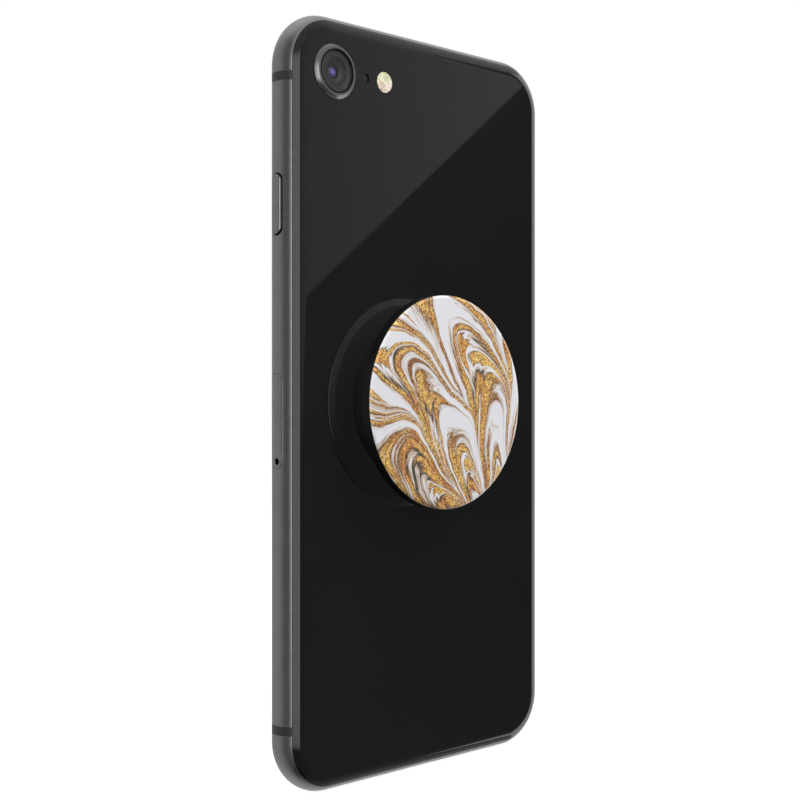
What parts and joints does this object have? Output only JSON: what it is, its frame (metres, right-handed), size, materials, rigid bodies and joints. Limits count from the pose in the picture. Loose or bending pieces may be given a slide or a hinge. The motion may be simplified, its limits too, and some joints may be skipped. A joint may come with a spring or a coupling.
{
  "type": "smartphone",
  "caption": "Slim glass-backed smartphone with a rounded metal frame, side keys, card tray, rear camera and a round collapsible grip on its back.",
  "frame": {"origin": "centre of the display glass's outer face", "axes": "+X towards the phone's right edge seen from the front, +Y from the display towards the back, +Z towards its top"},
  "size_m": [0.0676, 0.0187, 0.1384],
  "materials": {
    "frame_metal": "fine bead-blasted and anodised, space grey",
    "strip_plastic": "moulded, flush with the frame",
    "back_glass": "polished, backed with black ink",
    "front_glass": "polished, black border, display switched off",
    "sapphire": "polished",
    "dark_steel": "dark, polished edges",
    "steel": "rolled sheet",
    "copper": "enamelled winding",
    "circuit_board": "solder mask",
    "black_plastic": "moulded",
    "white_plastic": "moulded",
    "black_rubber": "adhesive foam",
    "battery_cell": "laminated foil pouch, black",
    "heavy_metal": "sintered",
    "flash_plastic": "clear lens over two emitters",
    "grip_plastic": "moulded, satin",
    "grip_rubber": "soft elastomer",
    "marbled_print": "white and gold marbled print under clear gloss"
  },
  "bodies": {
    "root": {"side_frame": "frame_metal", "antenna_strip_right_top": "strip_plastic", "antenna_strip_left_top": "strip_plastic", "antenna_strip_right_bottom": "strip_plastic", "antenna_strip_left_bottom": "strip_plastic", "power_switch": "black_plastic", "volume_up_switch": "black_plastic", "volume_down_switch": "black_plastic", "mute_switch": "black_plastic", "sim_reader": "steel", "display_glass": "front_glass", "display_gasket": "black_rubber", "display_panel": "front_glass", "backlight": "white_plastic", "display_shield": "steel", "home_button_ring": "dark_steel", "home_button": "sapphire", "home_sensor": "circuit_board", "earpiece_mesh": "dark_steel", "earpiece_speaker": "black_plastic", "front_camera": "black_plastic", "light_sensor": "black_plastic", "rear_glass": "back_glass", "rear_adhesive": "black_rubber", "camera_ring": "dark_steel", "camera_window": "sapphire", "camera_housing": "steel", "rear_microphone": "black_plastic", "flash_lens": "flash_plastic", "flash_board": "circuit_board", "logic_board": "circuit_board", "board_shield_front": "steel", "board_shield_rear": "steel", "battery": "battery_cell", "rear_plate": "steel", "charging_coil": "copper", "haptic_housing": "steel", "loudspeaker": "black_plastic", "charge_port": "black_plastic", "bottom_microphone": "black_plastic", "bottom_screw_left": "dark_steel", "bottom_screw_right": "dark_steel", "grip_pad": "black_rubber", "grip_base": "grip_plastic", "grip_ring_1": "grip_rubber"},
    "power_key": {"power_button": "frame_metal"},
    "volume_up_key": {"volume_up_button": "frame_metal"},
    "volume_down_key": {"volume_down_button": "frame_metal"},
    "mute_tab": {"mute_slider": "frame_metal"},
    "card_tray": {"sim_tray": "frame_metal", "sim_card": "white_plastic"},
    "focus_barrel": {"lens_barrel": "black_plastic"},
    "haptic_slug": {"haptic_mass": "heavy_metal"},
    "neck_ring_2": {"grip_ring_2": "grip_rubber"},
    "neck_ring_3": {"grip_ring_3": "grip_rubber"},
    "neck_ring_4": {"grip_ring_4": "grip_rubber"},
    "grip_cap": {"grip_ring_5": "grip_rubber", "grip_button": "grip_plastic", "grip_top": "marbled_print"}
  },
  "joints": [
    {"name": "power_press", "type": "slide", "parent": "root", "child": "power_key", "axis": [-1, 0, 0], "range_m": [0, 0.00025], "stiffness_N_per_m": 6000},
    {"name": "volume_up_press", "type": "slide", "parent": "root", "child": "volume_up_key", "axis": [1, 0, 0], "range_m": [0, 0.00025], "stiffness_N_per_m": 6000},
    {"name": "volume_down_press", "type": "slide", "parent": "root", "child": "volume_down_key", "axis": [1, 0, 0], "range_m": [0, 0.00025], "stiffness_N_per_m": 6000},
    {"name": "mute_slide", "type": "slide", "parent": "root", "child": "mute_tab", "axis": [0, 1, 0], "range_m": [0, 0.001]},
    {"name": "tray_slide", "type": "slide", "parent": "root", "child": "card_tray", "axis": [1, 0, 0], "range_m": [0, 0.0255]},
    {"name": "focus_slide", "type": "slide", "parent": "root", "child": "focus_barrel", "axis": [0, 1, 0], "range_m": [0, 0.00025], "stiffness_N_per_m": 100},
    {"name": "haptic_slide", "type": "slide", "parent": "root", "child": "haptic_slug", "axis": [1, 0, 0], "range_m": [-0.0005, 0.0005], "stiffness_N_per_m": 4600},
    {"name": "grip_slide", "type": "slide", "parent": "root", "child": "grip_cap", "axis": [0, 1, 0], "range_m": [-0.0055, 0.0081]},
    {"name": "ring_2_slide", "type": "slide", "parent": "root", "child": "neck_ring_2", "axis": [0, 1, 0], "range_m": [-0.00137, 0.00202]},
    {"name": "ring_3_slide", "type": "slide", "parent": "root", "child": "neck_ring_3", "axis": [0, 1, 0], "range_m": [-0.00275, 0.00405]},
    {"name": "ring_4_slide", "type": "slide", "parent": "root", "child": "neck_ring_4", "axis": [0, 1, 0], "range_m": [-0.00413, 0.00607]}
  ],
  "couplings": [
    {"joint": "ring_2_slide", "follows": "grip_slide", "ratio": 0.25},
    {"joint": "ring_3_slide", "follows": "grip_slide", "ratio": 0.5},
    {"joint": "ring_4_slide", "follows": "grip_slide", "ratio": 0.75}
  ]
}
